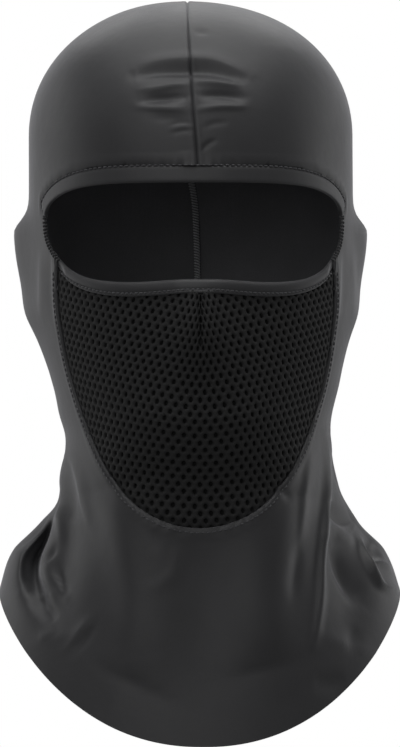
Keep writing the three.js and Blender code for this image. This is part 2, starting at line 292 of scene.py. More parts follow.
# Every fold: the points (x, z) that it runs through, its half width, its height and how soft its left is.
# The crown seam gathers the jersey over the brow: hollows between creases, and small puckers beside it.
BROW_FOLDS = [
    ([(-29.5, -32.5), (-20.5, -29), (-6, -27.5), (7.5, -28), (17, -31.5), (26.5, -35.5)], 1.9, 1.3, 1.8),
    ([(-30.5, -36), (-22, -34), (-6, -33), (7.5, -33.5), (21, -37.5)], 2.8, -2.6, 1),
    ([(-27.5, -43), (-18, -41.5), (-12, -40.5), (-4, -40)], 1.4, 1.2, 1.2),
    ([(-1, -38.5), (8.5, -39), (21, -40.5)], 1.4, 1.2, 1.2),
    ([(-27.5, -47.5), (-15.5, -46.5), (-3.5, -45.5)], 2.1, -1.9, 1),
    ([(1.5, -45), (12, -45), (23.5, -46.5)], 2.1, -1.9, 1),
    ([(-29.5, -51), (-18, -51.5), (-5, -52)], 1.3, 1, 1.3),
    ([(-1, -52.5), (9.5, -51), (24, -51)], 1.3, 1, 1.3),
    ([(-23, -56), (-10.5, -56.5), (-2, -56)], 2, -0.7, 1),
    ([(-14, -60), (-7.5, -58.5), (-1.5, -59)], 0.94, -0.8, 1.4),
    ([(-13, -64), (-6.5, -62.5), (-1, -62.5)], 0.94, -0.7, 1.4),
    ([(2.5, -72), (5.5, -69), (9, -67)], 1, -0.8, 1.2),
    ([(-10.5, -75.5), (-5.5, -74.5), (0, -75)], 1, 0.9, 1.3),
    ([(3, -61), (8, -59), (15, -58.5)], 1.2, -0.5, 1.2),
    ([(-1.5, -14), (1.5, -14.5), (5.5, -15)], 1, -0.6, 1.2),
]

# The front of the skirt hangs from the neck and the sides turn out over the shoulders.
SKIRT_FOLDS = [
    # On the left the drape's edge laps over the pocket.
    ([(-70.5, -301), (-77, -293), (-84, -284)], 3.6, -3.4, 1.2),
    ([(-66, -243), (-68.5, -253), (-71.5, -261), (-74.5, -268), (-76, -276), (-74, -284)], 1.9, 3.4, 3.0),
    ([(-60.5, -218), (-56.5, -231), (-54.5, -242.5), (-51.5, -254.5)], 1.7, 1.2, 2),
    ([(-63, -220.5), (-64.5, -236.5), (-65.5, -251), (-67, -263.5)], 1.7, 1.8, 1.3),
    ([(-61.5, -227), (-60, -241.5), (-59.5, -253.5)], 2.4, -1.2, 1),
    ([(-69.5, -264), (-72, -268), (-75, -271.5)], 1.4, -1.5, 1),
    ([(-68.5, -274), (-67.5, -281), (-64.5, -288)], 2.2, -1.6, 1),
    ([(-73, -275.5), (-69, -283), (-63, -291)], 2, 1.2, 1),
    ([(-77, -308), (-73, -307), (-69.5, -305)], 1.3, 0.9, 1.6),
    ([(-63.5, -315), (-59.5, -310.5), (-56, -305.5), (-49.5, -298.5)], 1.2, 1.1, 2.2),
    ([(-60.5, -316.5), (-55, -310.5), (-48, -302)], 2, -0.9, 1.4),
    ([(-38, -232), (-32, -253), (-28, -272), (-26, -292), (-28, -312), (-36, -330)], 14, 6.6, 1.6),
    ([(-20.5, -254.5), (-19, -260), (-18, -266)], 2.2, -0.4, 1),
    ([(-8, -263.5), (-12, -278), (-22, -285)], 3, 0.5, 1.3),
    ([(-64, -250), (-69, -268), (-70, -288), (-64, -308)], 13, -5, 1.0),
    # On the right one long crease falls from the neck, and the hem's corner curls up.
    ([(62, -208), (62, -232), (61, -251), (60, -271), (59.5, -290), (58, -302), (56, -312)], 1.7, 3.2, 1.5),
    ([(64.5, -217.5), (65.5, -231), (66, -243)], 2.6, -1.5, 1),
    ([(55, -216), (52, -231), (49, -248), (47.5, -263)], 1.8, 1.3, 1.8),
    ([(43.5, -228), (46.5, -222), (50, -214)], 1.6, 0.7, 1.5),
    ([(42, -236), (37, -258), (33, -280), (33, -302), (38, -324)], 19, 6.6, 0.75),
    ([(68, -256), (74, -272), (77, -292), (71, -312)], 13, -5, 1.0),
    ([(47.5, -263.5), (46, -278), (45, -290)], 3, -1.5, 1),
    ([(38, -235.5), (40.5, -237.5), (43.5, -240.5)], 1.6, -0.8, 1),
    ([(64, -243.5), (70, -249.5), (77, -254)], 3.4, -4.2, 1),
    ([(68, -258.5), (73, -259.5), (77, -261.5)], 2.4, 1.6, 1),
    ([(79, -258), (80.8, -262.5), (84, -270), (87, -277), (90.5, -283), (96, -284.5)], 1.3, 3.0, 1.2),
    ([(83.5, -259), (85.5, -265), (89, -271)], 2.2, -3.2, 1),
    ([(87, -270), (91, -272.5), (94, -275.5)], 1.1, 1.2, 1.2),
    ([(67, -263), (70, -272), (75, -281), (81, -290)], 3.4, -3.2, 1.4),
    ([(78, -302), (76.5, -309.5), (75, -316.5)], 3.5, -1, 1),
    ([(56, -331), (63.5, -330.5), (72, -329.5)], 4.5, -1.4, 1),
]

# In front of the left shoulder the cloth goes back deep behind the drape, by this many mm.
POCKET = ([(-78, -288), (-80, -279), (-79.5, -271), (-76.5, -262), (-73, -254), (-70, -247)], 3.0, 24, 1.5)

# Round the sides of the jaw and the neck: the side, the level, the half height and how far it stands out.
SIDE_FOLDS = [
    (-1, 150, 10, 1.8),
    (1, 150, 10, 1.5),
    (-1, 200, 9, 1.8),
    (-1, 244, 8, -2.8),
    (-1, 260, 8, -1.6),
    (1, 259, 12, -1.4),
]

# Beside the mesh panel the cloth is pulled tight from the ends of the eye opening.
FACE_FOLDS = [
    ([(side * x, z) for x, z in points], wide, high, softer)
    for side in (-1, 1)
    for points, wide, high, softer in (
        ([(75.5, -120.5), (75.5, -137.5), (74.5, -154)], 1.5, 0.8, 1.2),
        ([(71.5, -120.5), (71.5, -137.5), (70, -154)], 1.4, -0.6, 1),
        ([(69.5, -124), (69, -139.5), (67.5, -156.5)], 1.2, 0.6, 1),
    )
]


# The folds are placed as an eye straight in front sees them, in the middle plane of the head.
SEEN_FROM = {"x": 1.5, "away": 2200, "level": 180.2}


def lean(z, c):
    """How far the cloth lies to +X at a height z, c being 1 in front and 0 at the sides. The head stands a
    little off upright and turned: the crown and the ears lie towards -X, the face and the skirt less so."""
    skirt = 0.012 * np.clip(-z - 225, 0, None)
    side = -3.1 + 3.8 * ease(-z, 125, 222)
    front = -2.0 + 2.2 * ease(-z, 60, 100) + 1.6 * ease(-z, 105, 140) - 0.4 * ease(-z, 150, 240)
    return side + (front - side) * np.clip(c, 0, 1) + skirt


def seam_wander(angle, level):
    """How far the crown seam lies off the middle."""
    front = -2.6 * (1 - ease(level, 0, 62)) + 1.2 * ease(level, 48, 76)
    back = -1.4 * (1 - ease(level, 0, 80)) + 4.2 * ease(level, 60, 100) - 3.0 * ease(level, 150, 230)
    return np.where(np.cos(angle) > 0, front * (1 - ease(level, 84, 130)), back)


def folds(angle, level, p):
    """How far the folds make the cloth stand off the form, and how far they push it back, in mm."""
    c, closer = np.cos(angle), SEEN_FROM["away"] / (SEEN_FROM["away"] + p[..., 1])
    x = SEEN_FROM["x"] + (p[..., 0] - SEEN_FROM["x"]) * closer
    z = -SEEN_FROM["level"] + (p[..., 2] + SEEN_FROM["level"]) * closer
    flat = (x.ravel(), z.ravel())
    pocket = stroke(*flat, *POCKET).reshape(x.shape) * ease(c, 0.08, 0.4)
    lift = sum(stroke(*flat, *fold) for fold in BROW_FOLDS + SKIRT_FOLDS + FACE_FOLDS)
    front = lift.reshape(x.shape) * ease(c, 0.0, 0.12)
    # The crown seam's allowance is folded to one side inside the brow hem.
    bump = 0.6 * ease(x, -7.5, -5.5) * (1 - ease(x, -0.8, 0.4)) * ease(z, -88, -85) * (1 - ease(z, -77, -75))
    skirt = ease(level, NECK["level"] - 8, HEM["level"])
    flutes = np.sin(7 * angle + 0.6) + 0.5 * np.sin(11 * angle - 0.02 * level)
    nape = bell(level - NECK["level"] - 14, 26) * (0.9 * np.sin(level / 3.4 + 2.2 * np.sin(angle)))
    sides = sum(high * bell(-z - at, wide) * (x * side > 0) for side, at, wide, high in SIDE_FOLDS)
    behind = ease(-c, -0.05, 0.35) * (2.3 * skirt * flutes + nape * bell(x, 42))
    return front + sides * bell(c, 0.35) + bump * (c > 0) + behind, pocket


def lay(angle, level, away, sideways=0.0):
    """Points, in metres, that lie `away` mm off the folded form."""
    angle, level, away = np.broadcast_arrays(*(np.asarray(v, float) for v in (angle, level, away)))
    p = form(angle, level)
    p[..., 0] += seam_wander(angle, level) * bell(p[..., 0], 34) + lean(p[..., 2], np.cos(angle))
    normal = outward(angle, level)
    tight = CLOSER * (1 - ease(level, 195, 222))
    p[..., 2] -= LOWER_FRONT * ease(level, 240, HEM["level"]) * np.clip(np.cos(angle), 0, 1)
    off, back = folds(angle, level, p)
    p += normal * (away - tight + off)[..., None]
    p[..., 1] += back
    p[..., 0] += sideways
    return p * MM


# ------------------------------------------------------------------ outlines in the front view
EYE_HALF = float(form(np.array(math.pi / 2), np.array(float(EYE["level"])))[0]) - EYE["inset"]
PANEL_HALF = (EYE_HALF + NECK["side"]) / 2 - PANEL["inset"]
PANEL_TOP = EYE["level"] + EYE["down"]
END_FACING = float(facing(np.array([EYE_HALF, -EYE["level"]]), np.array([1.0, 0])))


def eye_point(turn, up=0.0, side=0.0, down=0.0):
    """Points (x, z) of the eye opening's outline, grown by widths over the cloth. Turn 0 is +X, then up."""
    c, s = np.cos(turn), np.sin(turn)
    high = np.where(s > 0, EYE["up"] + up, EYE["down"] + down)
    x = (EYE_HALF + side * END_FACING) * power(c, 2 / EYE["flat"])
    rise = np.where(s < 0, NOSE_RISE * bell(x, 1.5 * NOSE["wide"]), 0)
    return np.stack([x, -EYE["level"] + high * power(s, 2 / EYE["round"]) + rise], axis=-1)


def panel_point(turn, grow=0.0):
    """Points (x, z) of the mesh panel's half ellipse, grown over the cloth. Turn 0 is +X, then down."""
    c, s = np.cos(turn), np.sin(turn)
    edge = np.stack([PANEL_HALF * c, -PANEL_TOP - PANEL["drop"] * s], axis=-1)
    out = np.stack([c / PANEL_HALF, -s / PANEL["drop"]], axis=-1)
    out /= np.linalg.norm(out, axis=-1, keepdims=True)
    return edge + out * np.asarray(grow * facing(edge, out))[..., None]


# The turn at which the opening's lower edge meets the mesh panel's side seam.
SEAM_TURN = math.acos((PANEL_HALF / EYE_HALF) ** (EYE["flat"] / 2))


def panel_side(grow=0.0, step=2.0):
    """The panel's side seam and half ellipse as one line, from the opening at +X to the opening at -X."""
    arc = panel_point(np.linspace(0, math.pi, 220), grow)
    top = eye_point(np.array([-SEAM_TURN]))[0, 1]
    z = np.arange(top, -PANEL_TOP, -step)[:, None]
    right = np.hstack([np.full_like(z, arc[0, 0]), z])
    return np.vstack([right, arc, (right * [-1, 1])[::-1]])


def hem_width(turn, width):
    """The brow hem's width, which runs out at both ends of the opening."""
    return width * ease(np.sin(turn), 0.03, 0.34)


def inside(outline, x, z):
    """Whether points lie inside a closed outline of the front view."""
    odd = np.zeros(x.shape, bool)
    for (x0, z0), (x1, z1) in zip(outline, np.roll(outline, -1, axis=0)):
        if z0 != z1:
            odd ^= ((z0 > z) != (z1 > z)) & (x < (x1 - x0) * (z - z0) / (z1 - z0) + x0)
    return odd


def resample(line, step):
    """A line of the front view again, with points about step apart over the cloth."""
    at = lengths(on_form(line))
    return points_at(line, at, np.linspace(0, at[-1], max(2, round(at[-1] / step) + 1)))


# ------------------------------------------------------------------ meshes
def new_mesh(name, points, faces, materials, slot, sharp=55, merge=False):
    """An object made of points, in metres, and faces that list their corners, turned to look outward.
    merge joins points that lie on each other."""
    mesh = bpy.data.meshes.new(name)
    mesh.from_pydata([tuple(p) for p in np.asarray(points)], [], [tuple(map(int, f)) for f in faces])
    solid = bmesh.new()
    solid.from_mesh(mesh)
    if merge:
        bmesh.ops.remove_doubles(solid, verts=solid.verts, dist=0.02 * MM)
    bmesh.ops.recalc_face_normals(solid, faces=solid.faces)
    solid.to_mesh(mesh)
    solid.free()
    mesh.validate()
    piece = bpy.data.objects.new(name, mesh)
    bpy.context.scene.collection.objects.link(piece)
    for material in materials:
        mesh.materials.append(material)
    mesh.shade_smooth()
    mesh.set_sharp_from_angle(angle=math.radians(sharp))
    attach(piece, "root")
    return piece


def grid_faces(rows, columns):
    """Quads of a grid that closes on itself across, and whose points are numbered row by row."""
    r, c = (v.ravel() for v in np.meshgrid(np.arange(rows - 1), np.arange(columns), indexing="ij"))
    here, past = r * columns, (c + 1) % columns
    return np.stack([here + c, here + columns + c, here + columns + past, here + past], axis=1)


def closed_band(points):
    """The points and faces of a band, from an array (places along it, points round it, 3)."""
    n, k = points.shape[:2]
    ends = [list(range(k)), list(range((n - 1) * k, n * k))[::-1]]
    return points.reshape(-1, 3), grid_faces(n, k).tolist() + ends


def between_edges(edge_a, edge_b, section):
    """Points of the front view between two lines, and how far they lie off the form. section lists (share
    of the way from edge_a to edge_b, distance off the form) round a band."""
    share, away = np.array(section, float).T
    grid = edge_a[:, None] + (edge_b - edge_a)[:, None] * share[None, :, None]
    return grid, np.broadcast_to(away, grid.shape[:2])


def ribbon(edge_a, edge_b, section):
    """A closed band of cloth between two lines of the front view."""
    grid, away = between_edges(edge_a, edge_b, section)
    return closed_band(lay(*seen_at(grid[..., 0], grid[..., 1]), away))


def rim(faces):
    """The edges that only one face has, as pairs of points in that face's order."""
    edges = {}
    for face in faces:
        for a, b in zip(face, face[1:] + face[:1]):
            if (b, a) in edges:
                del edges[(b, a)]
            else:
                edges[(a, b)] = True
    return list(edges)


def joined(*parts):
    """Several sets of points and faces as one."""
    points, faces, start = [], [], 0
    for p, f in parts:
        points.append(p)
        faces += [[i + start for i in face] for face in f]
        start += len(p)
    return np.vstack(points), faces


def tubes(paths, radius, sides=6):
    """Round threads along paths, an array (threads, points, 3) in metres, closed at their ends."""
    tangent = np.gradient(paths, axis=1)
    tangent /= np.linalg.norm(tangent, axis=2, keepdims=True) + 1e-12
    normal = np.cross(tangent, np.cross(paths + [0, 0, 0.1], tangent))
    normal /= np.linalg.norm(normal, axis=2, keepdims=True) + 1e-12
    other = np.cross(tangent, normal)
    turn = np.linspace(0, TURN, sides, endpoint=False)
    ring = normal[:, :, None] * np.cos(turn)[:, None] + other[:, :, None] * np.sin(turn)[:, None]
    points = paths[:, :, None] + ring * radius
    k, n = paths.shape[:2]
    one = grid_faces(n, sides)
    faces = []
    for i in range(k):
        base = i * n * sides
        faces += (one + base).tolist()
        faces.append(list(range(base, base + sides))[::-1])
        faces.append(list(range(base + (n - 1) * sides, base + n * sides)))
    return points.reshape(-1, 3), faces


STITCH_LIFT = 0.14


def stitches(line, length, gap, radius, away):
    """Separate stitches along a line of the front view: each comes up, lies on the cloth and goes down."""
    step = length + gap
    at = lengths(on_form(line))
    count = int(at[-1] // step)
    start = (at[-1] - count * step + gap) / 2 + step * np.arange(count)
    share = np.array([0, 0.06, 0.2, 0.5, 0.8, 0.94, 1])
    height = np.array([-0.55, -0.1, 0.75, 1, 0.75, -0.1, -0.55]) * (radius + STITCH_LIFT)
    spot = points_at(line, at, start[:, None] + share[None] * length)
    return tubes(lay(*seen_at(spot[..., 0], spot[..., 1]), away + height[None]), radius * MM)


def nearest(points, line):
    """For each point, how far the nearest point of a line is, and which one it is."""
    tree = KDTree(len(line))
    for i, p in enumerate(line):
        tree.insert(p, i)
    tree.balance()
    found = [tree.find(p)[1:] for p in points]
    return np.array([f[1] for f in found]), np.array([f[0] for f in found], int)


def cut_out(angle, level, faces, loop):
    """Cuts a closed outline of the front view out of a mesh whose points have an angle and a level. Points
    that lie near the outline move onto it. Returns the new angles and levels, and the faces."""
    loop = resample(np.vstack([loop, loop[:1]]), 0.35)[:-1]
    loop_angle, loop_level = seen_at(loop[:, 0], loop[:, 1])
    loop_solid = form(loop_angle, loop_level)
    solid = form(angle, level)
    low, high = loop.min(axis=0) - 8, loop.max(axis=0) + 8
    x, z = solid[:, 0], solid[:, 2]
    near = np.flatnonzero(
        (np.cos(angle) > 0) & (x > low[0]) & (x < high[0]) & (z > low[1]) & (z < high[1])
    )
    side = np.full(len(angle), 99.0)
    far, k = nearest(solid[near], loop_solid)
    side[near] = np.where(inside(loop, x[near], z[near]), -far, far)
    onto = far < SNAP
    angle[near[onto]], level[near[onto]] = loop_angle[k[onto]], loop_level[k[onto]]
    side[near[onto]] = 0
    new, made, kept = {}, [], []

    def crossing(a, b):
        key = (min(a, b), max(a, b))
        if key not in new:
            t = side[a] / (side[a] - side[b])
            new[key] = len(angle) + len(made)
            made.append((angle[a] + t * (angle[b] - angle[a]), level[a] + t * (level[b] - level[a])))
        return new[key]

    for face in faces:
        around = side[face]
        if around.min() >= 0:
            if around.max() > 0:
                kept.append(list(face))
            continue
        if around.max() <= 0:
            continue
        corners = []
        for a, b in zip(face, np.roll(face, -1)):
            if side[a] >= 0:
                corners.append(a)
            if side[a] * side[b] < 0:
                corners.append(crossing(a, b))
        if len(corners) > 2:
            kept.append(corners)
    made = np.array(made)
    found = nearest(form(made[:, 0], made[:, 1]), loop_solid)[1]
    angle = np.concatenate([angle, loop_angle[found]])
    level = np.concatenate([level, loop_level[found]])
    used, index = np.unique(np.concatenate([np.array(f) for f in kept]), return_inverse=True)
    sizes = np.cumsum([len(f) for f in kept])[:-1]
    return angle[used], level[used], [f.tolist() for f in np.split(index, sizes)]


def point_normals(points, faces):
    """The outward unit normal at each point of a cloth made of faces."""
    normal = np.zeros(points.shape)
    for corners in {len(f) for f in faces}:
        some = np.array([f for f in faces if len(f) == corners])
        at = points[some]
        across = np.cross(at[:, 2] - at[:, 0], at[:, 1] - at[:, 0])
        for k in range(corners):
            np.add.at(normal, some[:, k], across)
    return normal / (np.linalg.norm(normal, axis=1, keepdims=True) + 1e-30)


def thick(outer, inner, faces):
    """A closed cloth from the points of its two sides. Returns its points, its faces and how many of them
    are outer ones."""
    n = len(outer)
    edge = [[b, a, a + n, b + n] for a, b in rim(faces)]
    back = [[i + n for i in face[::-1]] for face in faces]
    return np.vstack([outer, inner]), faces + back + edge, len(faces)


# ------------------------------------------------------------------ pieces: the hood's shell
def spaced(start, *spans):
    """Places from start on, in spans of (end, step)."""
    places = [float(start)]
    for end, step in spans:
        count = max(1, round((end - places[-1]) / step))
        places += list(np.linspace(places[-1], end, count + 1)[1:])
    return np.array(places)


def shell_points():
    """Angles and levels of the shell's grid, finest where the cloth is creased, and its faces."""
    front = (0.04, 0.007), (0.42, 0.016), (0.75, 0.0168), (1.5, 0.0095)
    half = spaced(0, *front, (1.9, 0.0168), (3.1, 0.055), (math.pi, 0.02))
    columns = np.concatenate([-half[:0:-1], half[:-1]])
    cap = np.sin(spaced(0.07, (0.86, 0.024)))
    dome = FOREHEAD["level"] * (1 - (1 - cap**DOME) ** (1 / DOME))
    levels = np.concatenate([dome, spaced(dome[-1], (78, 0.9), (206, 2.5), (HEM["level"], 1.1))[1:]])
    angle, level = np.meshgrid(columns, levels)
    rows, n = angle.shape
    faces = grid_faces(rows, n)[:, ::-1].tolist()
    apex = rows * n
    top = [[apex, (i + 1) % n, i] for i in range(n)]
    angle, level = np.append(angle.ravel(), 0.0), np.append(level.ravel(), 0.0)
    return angle, level, faces + top


def opening_loop(hem):
    """The outline that the shell leaves open: round the brow hem's stitch line and the mesh panel."""
    turn = np.linspace(-SEAM_TURN, math.pi + SEAM_TURN, 700)
    grown = hem_width(turn, hem)
    return np.vstack([eye_point(turn, up=grown, side=grown), panel_side()[::-1][1:-1]])


def shell_relief(angle, level, hem):
    """How far the shell's outer face stands off its plain thickness, in mm, beside its seams."""
    solid = form(angle, level)
    x, z = solid[:, 0], solid[:, 2]
    front = np.flatnonzero((np.cos(angle) > 0) & (np.abs(x) < EYE_HALF + 22) & (z < -72) & (z > -270))
    turn = np.linspace(-SEAM_TURN, math.pi + SEAM_TURN, 900)
    grown = hem_width(turn, hem)
    brow = on_form(eye_point(turn, up=grown, side=grown))
    panel = on_form(resample(panel_side(), 0.4))
    relief = np.zeros(len(angle))
    off_brow, k = nearest(solid[front], brow)
    near_hem = grown[k] / hem
    relief[front] += near_hem * (-1.0 * bell(off_brow, 0.8) + 0.3 * bell(off_brow - 2.6, 1.5))
    off_panel = nearest(solid[front], panel)[0]
    relief[front] += -0.45 * bell(off_panel, 0.4) + 0.3 * bell(off_panel - 1.0, 0.5)
    relief[front] += -0.2 * bell(off_panel - PANEL_STITCH, 0.5) + 0.25 * bell(off_panel - 3.4, 1.1)
    # The centre seam is a narrow groove between two soft edges.
    seam = -0.75 * bell(x, 0.5) + 0.12 * bell(np.abs(x) - 1.8, 0.9)
    return relief + seam * ((np.cos(angle) < 0) | (level < EYE["level"] - EYE["up"]))


def make_shell(cloth, colours):
    hem, ply = cloth.brow_hem / MM, cloth.jersey / MM
    angle, level, faces = cut_out(*shell_points(), opening_loop(hem))
    relief = shell_relief(angle, level, hem)
    face = lay(angle, level, ply)
    normal = point_normals(face, faces)
    outer = face + normal * (relief * MM)[:, None]
    inner = face + normal * ((np.minimum(relief, 0) - ply) * MM)[:, None]
    points, faces, count = thick(outer, inner, faces)
    materials = [jersey_face(colours), jersey_back_painted_light(colours)]
    shell = new_mesh("hood_shell_jersey", points, faces, materials, "shell_jersey")
    # The inner faces take the looped back, whose paler grey is painted light inside the hood.
    for face in shell.data.polygons[count : 2 * count]:
        face.material_index = 1
    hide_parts("hood_shell")
    return shell


# ------------------------------------------------------------------ pieces: edging of the eye opening
def make_edging(cloth, colours):
    hem, wide = cloth.brow_hem / MM, cloth.binding / MM
    jersey = jersey_face(colours)

    # The brow hem is turned under: outer ply, fold, and the inner ply up to just past the stitches.
    turn = np.linspace(0.05, math.pi - 0.05, 420)
    grown = hem_width(turn, hem)
    edge, line = eye_point(turn), eye_point(turn, up=grown, side=grown)
    section = [
        (1.0, 0.1), (0.95, 0.6), (0.87, 0.9), (0.72, 1.0), (0.5, 0.98), (0.3, 0.95), (0.14, 0.95),
        (0.05, 0.75), (0.0, 0.2), (0.02, -0.4), (0.1, -0.85), (0.3, -1.05), (0.7, -1.05), (1.0, -1.05),
        (1.14, -1.0), (1.15, -0.7), (0.95, -0.42), (0.6, -0.42), (0.22, -0.35), (0.14, 0.0),
        (0.24, 0.2), (0.6, 0.25), (0.85, 0.15), (0.96, -0.15),
    ]
    brow = new_mesh("brow_hem_jersey", *ribbon(edge, line, section), [jersey], "shell_jersey", sharp=80)
    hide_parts("brow_hem")

    # The lower edge is bound: a strip folded over the mesh, tucked under the jersey at both ends.
    tucked = PANEL_HALF + 1.6
    last = math.acos((tucked / EYE_HALF) ** (EYE["flat"] / 2))
    turn = np.linspace(-last, -math.pi + last, 380)
    edge, line = eye_point(turn), eye_point(turn, down=wide)
    line[:, 0] = np.clip(line[:, 0], -tucked, tucked)
    section = [
        (1.0, 0.85), (0.99, 1.25), (0.93, 1.6), (0.84, 1.6), (0.77, 1.25), (0.68, 1.55), (0.5, 1.9),
        (0.3, 1.95), (0.14, 1.75), (0.03, 1.2), (-0.02, 0.2), (0.02, -0.9), (0.14, -1.7), (0.4, -2.1),
        (0.75, -2.2), (1.0, -2.15), (1.0, -1.95), (0.5, -1.85), (0.22, -1.3), (0.16, 0.0), (0.24, 0.66),
        (0.6, 0.72),
    ]
    grid, away = between_edges(edge, line, section)
    tuck = ease(np.abs(grid[..., 0]), PANEL_HALF - 5.5, PANEL_HALF - 0.8)
    height = away * (1 - tuck) + (0.3 * away - 0.85) * tuck
    strip = closed_band(lay(*seen_at(grid[..., 0], grid[..., 1]), height))
    lower = new_mesh("lower_eye_binding_jersey", *strip, [jersey], "shell_jersey", sharp=80)
    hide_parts("lower_eye_binding")
    return brow, lower


# ------------------------------------------------------------------ pieces: the spacer-mesh panel
# The mesh's face stands this far off the form, and the mesh reaches this far past its seam.
MESH_FACE = 0.6
MESH_TUCK = 2.6
# How far the stretch turns the holes, in radians.
HOLE_SLANT = 0.5
DART_LENGTH = 30
DART_DEPTH = 1.9


def mesh_lattice(mesh):
    """The knit's holes lie in staggered rows. Each cell of the cloth is a hexagon with 12 corners round one
    hole. Returns the corners' places in the cloth, the cells' centres, the cells' corner numbers, and the
    corners' places round a centre."""
    across, down = mesh.hole_pitch / MM, mesh.row_pitch / MM
    high = (down**2 - (across / 2) ** 2) / (2 * down)
    tip = down - high
    corner = np.array([(across / 2, high), (0, tip), (-across / 2, high)])
    corner = np.vstack([corner, -corner])
    ring = np.stack([corner, (corner + np.roll(corner, -1, axis=0)) / 2], axis=1).reshape(12, 2)
    rows = np.arange(-8, int(150 / down) + 6)
    cells = [
        (across * (i + 0.5 * (j % 2)), down * j)
        for j in rows
        for i in range(-int(125 / across), int(125 / across) + 1)
    ]
    centre = np.array(cells)
    every = centre[:, None] + ring[None]
    keys = np.round(every / 0.02).astype(int).reshape(-1, 2)
    _, first, index = np.unique(keys, axis=0, return_index=True, return_inverse=True)
    return every.reshape(-1, 2)[first], centre, index.reshape(-1, 12), ring


class PanelMap:
    """Lays the mesh's own cloth on the face. In the cloth, a point is `across` from the middle and `down`
    from the binding. The nose dart takes in a wedge of cloth at the top, so the rows of holes dip to the
    middle, and the columns spread down from the dart."""

    # The columns spread by this share of the way down, over this reach, within this far of the middle.
    SPREAD = 0.42
    REACH = 75.0
    SOFT = 16.0
    # Half the width that the dart takes in.
    TAKEN = 6.0
    # How much the rows dip, and how much the cloth is drawn together towards its sides.
    DIP = 0.2
    SQUEEZE = 0.2

    def __init__(self, top):
        self.z = np.linspace(-EYE["level"] - 4, -PANEL_TOP - PANEL["drop"] - 6, 120)
        self.x = np.linspace(-PANEL_HALF - 6, PANEL_HALF + 6, 241)
        x, z = np.meshgrid(self.x, self.z)
        solid = form(*seen_at(x, z))
        middle = len(self.x) // 2
        self.across = np.array([lengths(row) for row in solid])
        self.across -= self.across[:, middle, None]
        down = lengths(solid[:, middle])
        self.down = down - np.interp(top, -self.z, down)

    def place(self, cloth):
        """Where points of the cloth lie: x and z of the front view, how far they are from the middle and
        down the face, and whether the dart has taken them in."""
        across, down = np.abs(cloth[..., 0]), cloth[..., 1]
        b = np.clip(down, 0, self.REACH)
        spread = self.SPREAD * (self.REACH / 2 - (b - b**2 / (2 * self.REACH)))
        taken = self.TAKEN * (1 - ease(b, -DART_LENGTH, DART_LENGTH * 0.8)) * 2
        left = across - taken
        s = np.clip(left, 0, None)
        s = s - (spread - taken) * np.tanh(s / self.SOFT)
        outer = np.clip(s - 14, 0, None)
        s = s - self.SQUEEZE * outer**2 / (outer + 12)
        v = down - self.DIP * (np.sqrt(s**2 + 36) - 6) * (1 - 0.5 * ease(down, 40, 120))
        s = s * np.where(cloth[..., 0] < 0, -1, 1)
        row = np.clip(np.interp(v, self.down, np.arange(len(self.z))), 0, len(self.z) - 1.001)
        low = row.astype(int)
        x = np.empty(s.shape)
        for r in np.unique(low):
            at = low == r
            first, second = (np.interp(s[at], self.across[k], self.x) for k in (r, r + 1))
            x[at] = first + (second - first) * (row[at] - r)
        return x, np.interp(v, self.down, self.z), np.abs(s), v, left < 0


